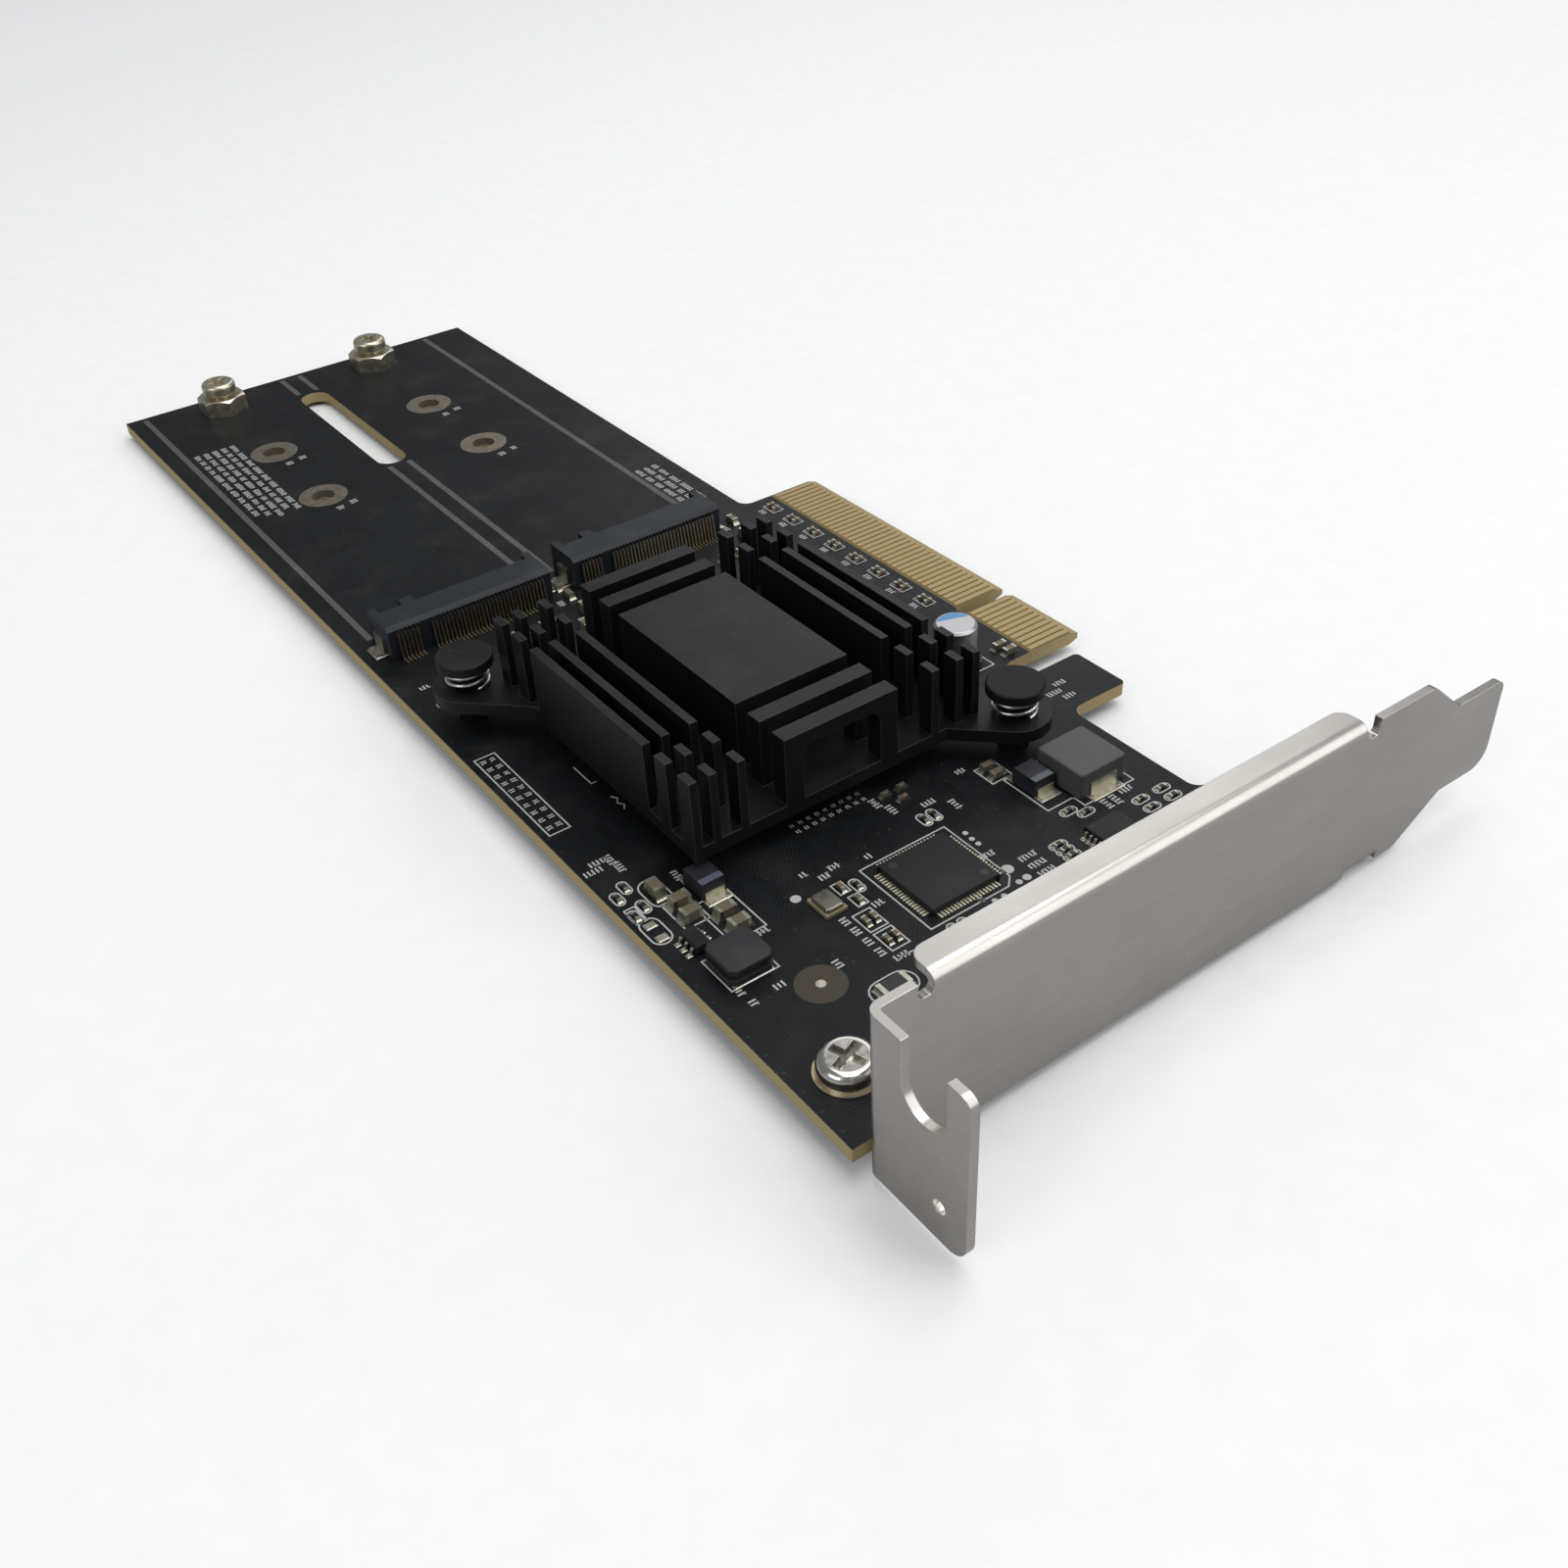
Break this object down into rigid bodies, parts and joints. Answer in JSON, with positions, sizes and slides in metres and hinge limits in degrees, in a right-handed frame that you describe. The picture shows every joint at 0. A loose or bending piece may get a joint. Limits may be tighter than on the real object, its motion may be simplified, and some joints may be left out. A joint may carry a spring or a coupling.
{
  "type": "nvme adapter card",
  "caption": "Low-profile plug-in card with a folded bracket, a finned heatsink and two sockets for flat storage modules held by screw posts.",
  "frame": {"origin": "centre of the key notch on the mating edge of the contact tongue, at the board's component face", "axes": "+X along the board towards the bracket, +Y towards the mating edge and out of it, +Z out of the component face"},
  "size_m": [0.1936, 0.0802, 0.0192],
  "materials": {
    "board_mask": "black solder mask over glass-epoxy laminate, golden cut edges",
    "contact_gold": "gold plated",
    "bracket_sheet": "nickel-plated sheet steel, satin",
    "screw_steel": "nickel plated",
    "plated_ring": "tinned copper",
    "post_metal": "nickel plated",
    "anodised": "black anodised, satin",
    "chip_epoxy": "moulded epoxy",
    "pad_grey": "soft silicone",
    "pin_plastic": "moulded nylon",
    "spring_steel": "bright wire",
    "socket_plastic": "moulded, dark blue-grey",
    "socket_contact": "gold flashed",
    "solder_tin": "tinned",
    "crystal_ceramic": "fired ceramic",
    "crystal_metal": "satin metal lid",
    "ferrite_light": "pressed metal powder, light grey",
    "ferrite_dark": "sintered ferrite, dark grey",
    "polymer_case": "moulded case with a pale end stripe",
    "can_aluminium": "bright can, blue segment on top",
    "base_plastic": "moulded foot",
    "capacitor_ceramic": "fired ceramic, brown",
    "resistor_body": "black glaze"
  },
  "bodies": {
    "root": {"circuit_board": "board_mask", "edge_contacts": "contact_gold", "bracket": "bracket_sheet", "bracket_screws": "screw_steel", "screw_pads": "contact_gold", "standoff_rings": "plated_ring", "standoff_screws": "post_metal", "heatsink": "anodised", "switch_chip": "chip_epoxy", "thermal_pad": "pad_grey", "push_pins": "pin_plastic", "push_pin_springs": "spring_steel", "controller_chip": "chip_epoxy", "controller_pads": "solder_tin", "crystal_base": "crystal_ceramic", "crystal_lid": "crystal_metal", "large_inductor": "ferrite_light", "large_inductor_terminals": "solder_tin", "small_inductor": "ferrite_dark", "small_inductor_terminals": "solder_tin", "polymer_capacitor_terminals": "solder_tin", "regulator": "chip_epoxy", "regulator_leads": "solder_tin", "memory_chip": "chip_epoxy", "memory_chip_leads": "solder_tin", "electrolytic_base": "base_plastic", "electrolytic_can": "can_aluminium", "electrolytic_leads": "solder_tin", "ceramic_capacitors": "capacitor_ceramic", "ceramic_capacitor_ends": "solder_tin", "chip_resistors": "resistor_body", "chip_resistor_ends": "solder_tin", "polymer_capacitor_a": "polymer_case", "polymer_capacitor_b": "polymer_case", "standoff_a": "post_metal", "socket_a_housing": "socket_plastic", "socket_a_contacts": "socket_contact", "socket_a_clips": "solder_tin", "standoff_b": "post_metal", "socket_b_housing": "socket_plastic", "socket_b_contacts": "socket_contact", "socket_b_clips": "solder_tin"}
  },
  "joints": []
}
